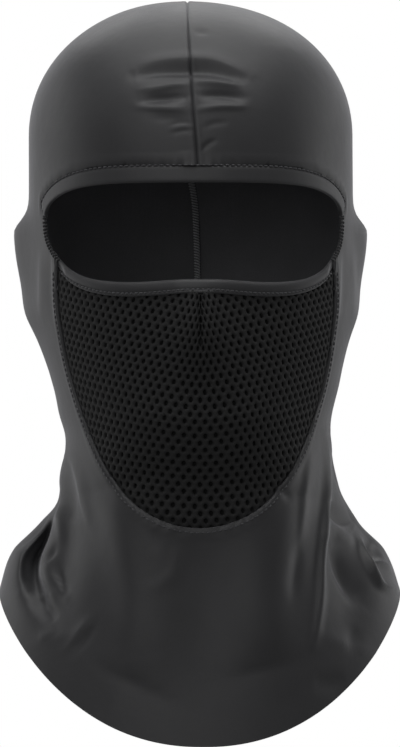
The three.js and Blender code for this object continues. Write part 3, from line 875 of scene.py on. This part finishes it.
def make_face_mesh(mesh, cloth, colours):
    corners, centres, cells, ring = mesh_lattice(mesh)
    wide = cloth.binding / MM
    face_map = PanelMap(PANEL_TOP + wide)
    half = np.array([mesh.hole_width, mesh.hole_height]) / MM / 2
    turn = np.arctan2(ring[:, 1] / half[1], ring[:, 0] / half[0])
    oval = np.stack([half[0] * np.cos(turn), half[1] * np.sin(turn)], axis=1)
    thickness = cloth.mesh / MM

    border = panel_side()
    loop = np.vstack([border, [[-PANEL_HALF, -EYE["level"]], [PANEL_HALF, -EYE["level"]]]])
    border_solid = on_form(resample(border, 0.5))

    def place(cloth_points):
        """Angle, level, how far inside the seam, x, z, the fold, the share of the thickness left beside
        the seam, and whether the dart has taken the point in."""
        x, z, s, v, taken = face_map.place(cloth_points)
        angle, level = seen_at(x, z)
        off, _ = nearest(form(angle, level).reshape(-1, 3), border_solid)
        off = off.reshape(x.shape) * np.where(inside(loop, x, z), 1, -1)
        dart = 1 - ease(v, DART_LENGTH * 0.45, DART_LENGTH * 0.95)
        fold = dart * (0.5 * bell(s - 4.5, 2.6) * ease(v, -2.0, 1.5) - DART_DEPTH * bell(s, 1.7))
        # Under the binding the cloth is pressed flat.
        pressed = 0.5 * (1 - ease(v, -3.4, -1.8)) * bell(s, 14)
        sunk = 1 - ease(off, 0.2, 3.4)
        fold = fold - pressed - sunk * (MESH_FACE + 0.35)
        return angle, level, off, x, z, fold, 1 - 0.62 * sunk, taken

    _, _, off, x, z, _, _, taken = place(centres)
    slot_floor = eye_point(np.linspace(-math.pi, 0, 200))
    covered = np.interp(x, *slot_floor.T) - wide + 2.4
    keep = (off > -MESH_TUCK) & ~taken & (z < covered)
    cells, centres = cells[keep], centres[keep]
    count = len(cells)
    used, cells = np.unique(cells, return_inverse=True)
    cells = cells.reshape(-1, 12)
    corners = corners[used]

    def layer(cloth_points, depth):
        angle, level, _, _, _, fold, left, _ = place(cloth_points)
        return lay(angle, level, MESH_FACE + fold - depth * left)

    # The stretch draws the holes aslant, up and in towards the dart.
    every = centres[:, None]
    slant = -HOLE_SLANT * np.tanh(every[..., 0] / 12)
    c, s = np.cos(slant), np.sin(slant)
    mouth = np.stack([oval[:, 0] * c - oval[:, 1] * s, oval[:, 0] * s + oval[:, 1] * c], axis=-1)
    middle = 0.5 * ring[None] + 0.5 * mouth
    strand = mesh.strand_round / MM
    parts = [
        layer(corners, 0.0),
        layer((every + middle).reshape(-1, 2), 0.3 * strand),
        layer((every + mouth).reshape(-1, 2), strand),
        layer((every + 0.92 * mouth).reshape(-1, 2), thickness * 0.72),
        layer(corners, thickness),
    ]
    starts = np.cumsum([0] + [len(p) for p in parts])
    rings = [cells] + [starts[k] + np.arange(count * 12).reshape(-1, 12) for k in (1, 2, 3)]
    faces = []
    for upper, lower in zip(rings, rings[1:]):
        nxt_upper, nxt_lower = np.roll(upper, -1, axis=1), np.roll(lower, -1, axis=1)
        faces += np.stack([upper, nxt_upper, nxt_lower, lower], axis=2).reshape(-1, 4).tolist()
    faces += rings[3].tolist()
    first_back = len(faces)
    faces += (starts[4] + cells[:, ::-1]).tolist()
    faces += [[b, a, a + starts[4], b + starts[4]] for a, b in rim(cells.tolist())]
    yarns = [mesh_yarn(colours), mesh_hole_painted_shade(colours)]
    panel = new_mesh("face_mesh_spacer", np.vstack(parts), faces, yarns, "spacer_mesh", sharp=80, merge=True)
    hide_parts("face_mesh")
    # The floors of the holes take the painted shade.
    for polygon in panel.data.polygons:
        if len(polygon.vertices) == 12 and polygon.index < first_back:
            polygon.material_index = 1

    # Behind the mesh, the dart's two plies stand in towards the nose.
    down = np.linspace(1.0, DART_LENGTH, 60)
    tall = 3.6 * np.sqrt(np.clip(1 - down / (DART_LENGTH * 1.02), 0, 1))
    z = -(PANEL_TOP + wide) - down
    root = MESH_FACE - thickness - DART_DEPTH * (1 - ease(down, DART_LENGTH * 0.45, DART_LENGTH * 0.95)) + 0.3
    plies = standing(*seen_at(np.zeros_like(z), z), root, tall, np.zeros_like(z), 1.0)
    dart = new_mesh("nose_dart_spacer", *plies, yarns[:1], "spacer_mesh")
    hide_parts("nose_dart")
    return panel, dart


def standing(angle, level, root, tall, tilt, half):
    """A closed fin along points of the form. root is where it starts off the form, tall how far it stands
    in, tilt how far it leans to one side, in radians, and half is half its thickness."""
    n = len(angle)
    section = [(0, half), (0.45, half), (0.85, half * 0.95), (0.98, half * 0.6), (1.0, 0)]
    section += [(d, -s) for d, s in section[-2::-1]]
    deep, side = np.array(section).T
    deep, side = np.broadcast_arrays(deep[None] * tall[:, None], side[None])
    c, s = np.cos(tilt)[:, None], np.sin(tilt)[:, None]
    away = np.broadcast_to(root, n)[:, None] - deep * c + side * s
    k = deep.shape[1]
    spot = [np.repeat(v[:, None], k, axis=1) for v in (angle, level)]
    return closed_band(lay(*spot, away, sideways=-deep * s + side * c))


# ------------------------------------------------------------------ pieces: seams on the inside
# The centre seam's plies start this far off the form, and stop this far above the skirt's hem. The mesh
# seam's plies start this far outside the seam.
SEAM_ROOT = -0.1
SEAM_END = 2.0
SEAM_START = 0.3
# The overlock thread's radius where it stands up in loops, and where the cloth presses it flat.
LOOP_RADIUS = 0.42
FLAT_RADIUS = 0.26


def centre_seam_line(step):
    """Angles and levels along the centre seam: over the crown from the brow hem, and down the back."""
    front = np.arange(EYE["level"] - EYE["up"] - 9.5, 2.0, -step)
    back = np.arange(2.0, HEM["level"] - SEAM_END, step)
    return np.concatenate([np.zeros(len(front)), np.full(len(back), math.pi)]), np.concatenate([front, back])


def seam_tilt(angle, level):
    """The allowance is pressed to one side at the crown and stands up lower down."""
    return np.where(np.cos(angle) > 0, 0.5, 0.75 - 0.42 * ease(level, 80, 135) + 0.1 * np.sin(level / 23))


def beside_panel(grow, step, below=6.0):
    """Points of the front view along the mesh panel's seam, grown over the cloth, from `below` mm under the
    level of the half ellipse's straight side."""
    line = resample(panel_side(grow), step)
    return line[line[:, 1] < -PANEL_TOP - below]


def even(count, *lines):
    """Lines of the front view again, each with count points."""
    share = np.linspace(0, 1, count)
    return [points_at(line, np.linspace(0, 1, len(line)), share) for line in lines]


def make_allowances(cloth, colours):
    # Both allowances take the jersey's looped back, whose paler grey is painted light inside the hood.
    angle, level = centre_seam_line(1.2)
    tall = np.full(len(angle), SEAM_ALLOWANCE)
    fold = standing(angle, level, SEAM_ROOT, tall, seam_tilt(angle, level), cloth.jersey / MM * 0.9)
    centre = new_mesh("centre_seam_allowance_jersey", *fold, [jersey_back_painted_light(colours)], "shell_jersey")
    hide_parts("centre_seam_allowance")

    inner, outer = even(360, *(beside_panel(SEAM_START + past, 0.5) for past in (0, SEAM_ALLOWANCE)))
    section = [(0, -1.6), (0.5, -1.45), (0.97, -1.6), (1.0, -2.3), (0.97, -3.0), (0.5, -3.2), (0, -3.1)]
    fold = ribbon(inner, outer, section)
    panel = new_mesh("mesh_seam_allowance_jersey", *fold, [jersey_back_painted_light(colours)], "shell_jersey")
    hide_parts("mesh_seam_allowance")
    return centre, panel


def coil(angle, level, pitch, half):
    """The overlock thread wound round the free edge of the centre seam's allowance, pitch mm a turn. angle
    and level run along the seam, and the loops reach half mm to each side."""
    turns = lengths(form(angle, level))[-1] / pitch
    t = np.linspace(0, 1, int(turns * 12))
    angle, level = (np.interp(t, np.linspace(0, 1, len(v)), v) for v in (angle, level))
    wind = TURN * turns * t
    deep, side = SEAM_ALLOWANCE - 1.35 + 1.6 * np.cos(wind), half * np.sin(wind)
    c, s = np.cos(seam_tilt(angle, level)), np.sin(seam_tilt(angle, level))
    path = lay(angle, level, SEAM_ROOT - deep * c + side * s, sideways=-deep * s + side * c)
    return tubes(path[None], LOOP_RADIUS * MM)


def make_overlock(cloth, thread, colours):
    yarn = overlock_thread(colours)
    pitch = thread.overlock_pitch / MM
    half = cloth.jersey / MM * 0.9 + 0.35

    # Centre seam: the thread wraps the allowance's free edge, in front of the crown and behind it.
    angle, level = centre_seam_line(0.6)
    halves = np.cos(angle) > 0, np.cos(angle) < 0
    wound = joined(*(coil(angle[here], level[here], pitch, half) for here in halves))
    centre = new_mesh("centre_seam_overlock_thread", *wound, [yarn], "thread", sharp=80)
    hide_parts("centre_seam_overlock")

    # Mesh seam: the same wrap lies flat against the inside of the jersey.
    near, far = (beside_panel(SEAM_START + SEAM_ALLOWANCE + past, 0.5) for past in (-1.4, 0.4))
    turns = lengths(on_form(near))[-1] / pitch
    near, far = even(int(turns * 12), near, far)
    wind = TURN * turns * np.linspace(0, 1, len(near))
    at = near + (far - near) * (0.5 + 0.5 * np.cos(wind))[:, None]
    loops = tubes(lay(*seen_at(*at.T), -2.3 + np.sin(wind))[None], FLAT_RADIUS * MM)
    panel = new_mesh("mesh_seam_overlock_thread", *loops, [yarn], "thread", sharp=80)
    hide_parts("mesh_seam_overlock")

    # The ends of the eye opening: a dense wrap over the jersey's edge, beaded by the stretch.
    ends = []
    for name, sign in (("left", -1), ("right", 1)):
        edge = eye_point(np.linspace(*CORNER_TURN, 200)) * [sign, 1]
        turns = lengths(on_form(edge))[-1] / (pitch * 0.92)
        t = np.linspace(0, 1, int(turns * 14))
        turn = CORNER_TURN[0] + (CORNER_TURN[1] - CORNER_TURN[0]) * t
        wind = TURN * turns * t
        cover = 0.8 * (1 - np.cos(wind)) * np.sin(np.pi * np.clip(t, 0.03, 0.97)) ** 0.3 - 0.25
        at = eye_point(turn, up=cover, side=cover, down=cover) * [sign, 1]
        loops = tubes(lay(*seen_at(*at.T), 0.45 + 0.95 * np.sin(wind))[None], LOOP_RADIUS * MM, 8)
        end = new_mesh(f"slot_corner_{name}_thread", *loops, [edge_thread(colours)], "thread", sharp=80)
        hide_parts(f"slot_corner_{name}")
        ends.append(end)
    return centre, panel, *ends


# ------------------------------------------------------------------ pieces: topstitching
def make_topstitching(cloth, thread, colours):
    yarn = topstitch_thread(colours)
    radius = thread.thickness / MM / 2
    hem, wide = cloth.brow_hem / MM, cloth.binding / MM

    turn = np.linspace(0.12, math.pi - 0.12, 500)
    grown = hem_width(turn, hem)
    line = eye_point(turn, up=grown, side=grown)
    sewn = stitches(line, thread.brow_stitch / MM, 1.2, radius, 0.55)
    brow = new_mesh("brow_hem_stitching_thread", *sewn, [yarn], "thread", sharp=80)
    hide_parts("brow_hem_stitching")

    last = math.acos(((PANEL_HALF - 2.6) / EYE_HALF) ** (EYE["flat"] / 2))
    turn = np.linspace(-last, -math.pi + last, 500)
    line = eye_point(turn, down=wide * 0.77)
    sewn = stitches(line, thread.binding_stitch / MM, 0.95, radius, 1.34)
    lower = new_mesh("binding_stitching_thread", *sewn, [yarn], "thread", sharp=80)
    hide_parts("binding_stitching")

    line = beside_panel(PANEL_STITCH, 0.5, below=-7.0)
    sewn = stitches(line, thread.seam_stitch / MM, 0.85, radius, cloth.jersey / MM - 0.1)
    panel = new_mesh("mesh_seam_stitching_thread", *sewn, [yarn], "thread", sharp=80)
    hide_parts("mesh_seam_stitching")
    return brow, lower, panel


# ------------------------------------------------------------------ materials
def linear(code):
    """Linear RGBA of an sRGB hex value."""
    channels = [int(code[i : i + 2], 16) / 255 for i in (0, 2, 4)]
    return [c / 12.92 if c <= 0.04045 else ((c + 0.055) / 1.055) ** 2.4 for c in channels] + [1.0]


def add(material, kind, values=(), links=(), **settings):
    """Adds a node with its settings, the values of its sockets, and what is linked to them."""
    made = material.node_tree.nodes.new(kind)
    for key, value in settings.items():
        setattr(made, key, value)
    for key, value in dict(values).items():
        made.inputs[key].default_value = value
    for key, socket in dict(links).items():
        material.node_tree.links.new(socket, made.inputs[key])
    return made


def maths(material, operation, *terms):
    """The result of an operation on terms, each a socket or a number."""
    values = {k: term for k, term in enumerate(terms) if isinstance(term, float)}
    links = {k: term for k, term in enumerate(terms) if not isinstance(term, float)}
    return add(material, "ShaderNodeMath", values, links, operation=operation).outputs[0]


def ranged(material, value, start, end, low, high):
    """A value brought from the range start to end into the range low to high."""
    limits = {"From Min": start, "From Max": end, "To Min": low, "To Max": high}
    return add(material, "ShaderNodeMapRange", limits, {"Value": value}).outputs[0]


def noise(material, place, scale, detail, roughness=0.5):
    values = {"Scale": scale, "Detail": detail, "Roughness": roughness}
    return add(material, "ShaderNodeTexNoise", values, {"Vector": place}).outputs["Fac"]


def tinted(material, colour, by):
    """A colour made darker or lighter by a value."""
    return add(material, "ShaderNodeVectorMath", {0: colour[:3]}, {"Scale": by}, operation="SCALE").outputs[0]


def relief(material, height, strength, distance, **normal):
    """The normal of a surface that rises by distance, in mm, with height."""
    values = {"Strength": strength, "Distance": distance * MM}
    return add(material, "ShaderNodeBump", values, {"Height": height, **normal}).outputs["Normal"]


def finish_of(name, surface, *values):
    """A named material whose nodes are made by surface(material, *values), which returns the shader."""
    material = bpy.data.materials.get(name)
    if material is None:
        material = bpy.data.materials.new(name)
        material.use_nodes = True
        material.node_tree.nodes.clear()
        add(material, "ShaderNodeOutputMaterial", links={"Surface": surface(material, *values).outputs[0]})
    return material


# The knit's wales are about 0.3 mm apart. They are drawn twice as wide so that they show.
WALE, COURSE = 0.6, 0.5
HEAD_RADIUS = 85.0


def knit(material, place):
    """Height of a weft knit on the head: wales run down it and courses round it."""
    axis = add(material, "ShaderNodeSeparateXYZ", links={"Vector": place}).outputs
    turn = maths(material, "ARCTAN2", axis["X"], maths(material, "MULTIPLY", axis["Y"], -1.0))
    wales, courses = (
        maths(material, "SINE", maths(material, "MULTIPLY", source, rate))
        for source, rate in ((turn, TURN * HEAD_RADIUS / WALE), (axis["Z"], TURN / (COURSE * MM)))
    )
    return maths(material, "ADD", wales, maths(material, "MULTIPLY", courses, 0.5))


def jersey_surface(material, colour, roughness, sheen, depth):
    """Knitted filament yarn. Its dye and its polish vary a little from place to place, its fibres make a
    fine grain, and it swells softly."""
    place = add(material, "ShaderNodeTexCoord").outputs["Object"]
    cloud = noise(material, place, 30.0, 4.0, 0.6)
    dye = ranged(material, cloud, 0.3, 0.7, 0.9, 1.1)
    grain = ranged(material, noise(material, place, 1900.0, 2.0), 0.25, 0.75, 0.9, 1.1)
    swell = relief(material, noise(material, place, 110.0, 2.0), 0.25, 0.6)
    return add(
        material,
        "ShaderNodeBsdfPrincipled",
        {"IOR": 1.53, "Sheen Weight": sheen, "Sheen Roughness": 0.35, "Sheen Tint": linear("D0D0D4")},
        {
            "Base Color": tinted(material, colour, maths(material, "MULTIPLY", dye, grain)),
            "Roughness": ranged(material, cloud, 0.3, 0.7, roughness - 0.05, roughness + 0.05),
            "Normal": relief(material, knit(material, place), depth, 0.05, Normal=swell),
        },
    )


def jersey_face(colours):
    """Nylon and elastane jersey, knitted fine and heat set: a smooth satin face that lights up where it
    turns away."""
    return finish_of("Nylon jersey, knitted satin face", jersey_surface, colours.jersey, 0.5, 0.6, 0.1)


def jersey_back_painted_light(colours):
    """The looped back of the same jersey: dull and without the satin. Its paler grey is painted light: it
    stands in for the light that reaches the inside of the hood, so that the inside still shows through the
    eye opening."""
    return finish_of("Nylon jersey, looped back, painted light", jersey_surface, colours.inside, 0.75, 0.05, 0.6)


def yarn_surface(material, colour, roughness, twist, sheen):
    """Yarn whose plies show as fine slanting bands, twist mm apart."""
    place = add(material, "ShaderNodeTexCoord").outputs["Object"]
    bands = add(
        material,
        "ShaderNodeTexWave",
        {"Scale": 1 / (twist * MM) / 3.2, "Distortion": 2.5, "Detail": 2.0, "Detail Scale": 1.5},
        {"Vector": place},
        bands_direction="DIAGONAL",
    ).outputs["Fac"]
    return add(
        material,
        "ShaderNodeBsdfPrincipled",
        {"IOR": 1.54, "Roughness": roughness, "Sheen Weight": sheen, "Sheen Roughness": 0.5},
        {
            "Base Color": tinted(material, colour, ranged(material, bands, 0.0, 1.0, 0.72, 1.15)),
            "Normal": relief(material, bands, 0.5, 0.08),
        },
    )


def mesh_yarn(colours):
    """Textured polyester, warp-knitted into a spacer mesh: dull black strands, with no shine of their own."""
    return finish_of("Polyester spacer mesh, warp-knitted", yarn_surface, colours.mesh, 0.8, 0.7, 0.0)


def mesh_hole_painted_shade(colours):
    """The same cloth's inner face, deep in the holes, with painted shade: its colour is darkened to stand in
    for the shade there, where next to no light comes back.
    """
    painted_shade = [0.15 * c for c in colours.mesh]
    return finish_of("Polyester spacer mesh, painted shade in the holes", yarn_surface, painted_shade, 0.95, 0.7, 0.0)


def topstitch_thread(colours):
    """Spun polyester sewing thread, twisted in two plies: a small dull highlight on each stitch."""
    return finish_of("Polyester thread, spun", yarn_surface, colours.thread, 0.5, 0.5, 0.1)


def edge_thread(colours):
    """Textured nylon, wound close over the cut edge: soft, full loops in the jersey's own grey."""
    return finish_of("Nylon overlock yarn, textured", yarn_surface, colours.jersey, 0.6, 0.6, 0.2)


def overlock_thread(colours):
    """The same yarn undyed, on the inside of the hood: pale beads that stand out in the hood's shade."""
    return finish_of("Nylon overlock yarn, inside", yarn_surface, colours.overlock, 0.7, 0.6, 0.05)


def painted_light(material, colour):
    return add(material, "ShaderNodeEmission", {"Color": colour, "Strength": 1.0})


def studio_white(colours):
    """Painted cyclorama, lit evenly from outside the picture: a flat white with no shading of its own."""
    return finish_of("Cyclorama paint, evenly lit", painted_light, colours.studio)


# ------------------------------------------------------------------ stage
STUDIO_RADIUS = 6


def soft_light(name, at, towards, size, power):
    """A softbox at a place, turned towards another."""
    light = bpy.data.lights.new(name, "AREA")
    light.shape, light.size, light.size_y, light.energy = "RECTANGLE", size[0], size[1], power
    lamp = bpy.data.objects.new(name, light)
    lamp.location = at
    lamp.rotation_euler = (Vector(towards) - Vector(at)).to_track_quat("-Z", "Y").to_euler()
    bpy.context.scene.collection.objects.link(lamp)
    return lamp


def make_stage(stage, colours):
    scene = bpy.context.scene
    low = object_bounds()[0]
    below = (0, 0, low[2] - 2 * MM)
    bpy.ops.mesh.primitive_circle_add(vertices=96, radius=STUDIO_RADIUS, fill_type="NGON", location=below)
    floor = bpy.context.object
    floor.name = "floor"
    bpy.ops.mesh.primitive_uv_sphere_add(
        segments=64, ring_count=32, radius=STUDIO_RADIUS, location=(0, 0, low[2])
    )
    wall = bpy.context.object
    wall.name = "backdrop"
    for white in (floor, wall):
        white.data.materials.append(studio_white(colours))
        white.visible_diffuse = white.visible_glossy = white.visible_shadow = False
        white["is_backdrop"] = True

    middle = (0, 0, -SEEN_FROM["level"] * MM)
    crown = (0, 0, -0.05)
    for name, side in (("left_light", -1), ("right_light", 1)):
        towards = (side * 0.04, 0, middle[2])
        soft_light(name, (side * 1.1, 0.45, -0.12), towards, (0.9, 1.3), stage.side_light)
    soft_light("top_light", (0, 0.7, 0.8), crown, (1.1, 0.9), stage.top_light)
    soft_light("brow_light", (0, -0.3, 0.95), crown, (1.3, 0.9), stage.brow_light)
    soft_light("front_light", (-0.6, -2.0, 0.5), middle, (1.8, 1.5), stage.front_light)

    world = bpy.data.worlds.new("studio_air")
    world.use_nodes = True
    air = world.node_tree.nodes["Background"].inputs
    air["Color"].default_value = linear("FFFFFF")
    air["Strength"].default_value = stage.air_light
    scene.world = world
    scene.view_settings.view_transform = "Standard"

    camera = bpy.data.cameras.new("camera")
    camera.lens = stage.lens
    eye = bpy.data.objects.new("camera", camera)
    eye.location = (SEEN_FROM["x"] * MM, -SEEN_FROM["away"] * MM, middle[2])
    eye.rotation_euler = (math.pi / 2, 0, 0)
    scene.collection.objects.link(eye)
    scene.camera = eye


# ------------------------------------------------------------------ what a user would change
def number(name, description, default, **kind):
    return FloatProperty(name=name, description=description, default=default, min=0, **kind)


def length(name, description, default):
    return number(name, description, default, unit="LENGTH", subtype="DISTANCE")


def watts(name, description, default):
    return number(name, description, default, unit="POWER")


def colour(name, description, code):
    return FloatVectorProperty(
        name=name, description=description, default=linear(code), size=4, subtype="COLOR", min=0, max=1
    )


class BalaclavaCloth(bpy.types.PropertyGroup):
    jersey: length("Jersey", "Thickness of the hood's stretch jersey", 0.0009)
    mesh: length("Spacer mesh", "Thickness of the spacer mesh", 0.0024)
    brow_hem: length("Brow hem", "Width of the hem turned in above the eyes", 0.008)
    binding: length("Binding", "Width of the strip that binds the mesh below the eyes", 0.0066)


class BalaclavaMesh(bpy.types.PropertyGroup):
    hole_pitch: length("Hole pitch", "Distance between holes in a row", 0.00505)
    row_pitch: length("Row pitch", "Distance between rows of holes", 0.0035)
    hole_width: length("Hole width", "Width of a hole at its rim", 0.0020)
    hole_height: length("Hole height", "Height of a hole at its rim", 0.0029)
    strand_round: length("Strand round", "How far a strand's sides round off below its crest", 0.0005)


class BalaclavaThread(bpy.types.PropertyGroup):
    thickness: length("Thread", "Diameter of the topstitching thread", 0.0007)
    brow_stitch: length("Brow stitch", "Length of a stitch on the brow hem", 0.0016)
    binding_stitch: length("Binding stitch", "Length of a stitch on the binding", 0.0014)
    seam_stitch: length("Seam stitch", "Length of a stitch beside the mesh", 0.0017)
    overlock_pitch: length("Overlock pitch", "Distance between turns of the overlock thread", 0.0019)


class BalaclavaColours(bpy.types.PropertyGroup):
    jersey: colour("Jersey", "Colour of the jersey's satin face", "2E2E30")
    # The inside colour is paler than the jersey's own grey: painted light on the inside of the hood.
    inside: colour("Inside", "Colour of the jersey's looped back", "7A7A7D")
    mesh: colour("Mesh", "Colour of the spacer mesh's yarn", "151516")
    thread: colour("Thread", "Colour of the topstitching thread", "434346")
    overlock: colour("Overlock", "Colour of the overlock thread on the inside", "E2E2E5")
    studio: colour("Studio", "Colour of the floor and the backdrop", "FFFFFF")


class BalaclavaStage(bpy.types.PropertyGroup):
    side_light: watts("Side lights", "Power of each side softbox", 2.9)
    top_light: watts("Top light", "Power of the top softbox", 4.8)
    brow_light: watts("Brow light", "Power of the softbox over the brow", 7.5)
    front_light: watts("Front light", "Power of the front fill", 7.5)
    air_light: number("Air", "Strength of the light from all round", 0.19)
    lens: number("Lens", "Focal length of the camera, in mm", 218.6, unit="CAMERA")


def settings(context, *groups):
    """The scene's values of these groups, in order."""
    return [getattr(context.scene, f"balaclava_{group}") for group in groups]


class BALACLAVA_OT_hood_shell(bpy.types.Operator):
    """Makes the jersey hood with its creases and its centre seam"""

    bl_idname = "balaclava.hood_shell"
    bl_label = "Hood Shell"
    bl_options = {"REGISTER", "UNDO"}

    def execute(self, context):
        shell = make_shell(*settings(context, "cloth", "colours"))
        return {"FINISHED"}


class BALACLAVA_OT_eye_edging(bpy.types.Operator):
    """Makes the turned brow hem and the binding below the eyes"""

    bl_idname = "balaclava.eye_edging"
    bl_label = "Eye Edging"
    bl_options = {"REGISTER", "UNDO"}

    def execute(self, context):
        brow, lower = make_edging(*settings(context, "cloth", "colours"))
        return {"FINISHED"}


class BALACLAVA_OT_face_mesh(bpy.types.Operator):
    """Makes the spacer-mesh panel with its nose dart"""

    bl_idname = "balaclava.face_mesh"
    bl_label = "Face Mesh"
    bl_options = {"REGISTER", "UNDO"}

    def execute(self, context):
        panel, dart = make_face_mesh(*settings(context, "mesh", "cloth", "colours"))
        return {"FINISHED"}


class BALACLAVA_OT_seam_allowances(bpy.types.Operator):
    """Makes the seam allowances inside the hood"""

    bl_idname = "balaclava.seam_allowances"
    bl_label = "Seam Allowances"
    bl_options = {"REGISTER", "UNDO"}

    def execute(self, context):
        make_allowances(*settings(context, "cloth", "colours"))
        return {"FINISHED"}


class BALACLAVA_OT_overlock(bpy.types.Operator):
    """Makes the overlock threads on the seams and at the ends of the eye opening"""

    bl_idname = "balaclava.overlock"
    bl_label = "Overlock"
    bl_options = {"REGISTER", "UNDO"}

    def execute(self, context):
        make_overlock(*settings(context, "cloth", "thread", "colours"))
        return {"FINISHED"}


class BALACLAVA_OT_topstitching(bpy.types.Operator):
    """Makes the rows of topstitching"""

    bl_idname = "balaclava.topstitching"
    bl_label = "Topstitching"
    bl_options = {"REGISTER", "UNDO"}

    def execute(self, context):
        make_topstitching(*settings(context, "cloth", "thread", "colours"))
        return {"FINISHED"}


class BALACLAVA_OT_stage(bpy.types.Operator):
    """Makes the white studio, its lights and the camera"""

    bl_idname = "balaclava.stage"
    bl_label = "Stage"
    bl_options = {"REGISTER", "UNDO"}

    def execute(self, context):
        make_stage(*settings(context, "stage", "colours"))
        return {"FINISHED"}


OPERATORS = (
    BALACLAVA_OT_hood_shell,
    BALACLAVA_OT_eye_edging,
    BALACLAVA_OT_face_mesh,
    BALACLAVA_OT_seam_allowances,
    BALACLAVA_OT_overlock,
    BALACLAVA_OT_topstitching,
    BALACLAVA_OT_stage,
)
GROUPS = {
    "cloth": BalaclavaCloth,
    "mesh": BalaclavaMesh,
    "thread": BalaclavaThread,
    "colours": BalaclavaColours,
    "stage": BalaclavaStage,
}


class BALACLAVA_PT_panel(bpy.types.Panel):
    bl_idname = "BALACLAVA_PT_panel"
    bl_label = "Mesh-Face Balaclava"
    bl_space_type = "VIEW_3D"
    bl_region_type = "UI"
    bl_category = "Balaclava"

    def draw(self, context):
        for (group, kind), values in zip(GROUPS.items(), settings(context, *GROUPS)):
            box = self.layout.box()
            box.label(text=group.title())
            for name in kind.__annotations__:
                box.prop(values, name)
        for operator in OPERATORS:
            self.layout.operator(operator.bl_idname)


def register():
    for kind in (*GROUPS.values(), *OPERATORS, BALACLAVA_PT_panel):
        bpy.utils.register_class(kind)
    for group, kind in GROUPS.items():
        setattr(bpy.types.Scene, f"balaclava_{group}", PointerProperty(type=kind))


def unregister():
    for group in GROUPS:
        delattr(bpy.types.Scene, f"balaclava_{group}")
    for kind in (BALACLAVA_PT_panel, *reversed(OPERATORS), *reversed(GROUPS.values())):
        bpy.utils.unregister_class(kind)


def main():
    register()
    for operator in OPERATORS:
        group, name = operator.bl_idname.split(".")
        getattr(getattr(bpy.ops, group), name)()


if __name__ == "__main__":
    main()
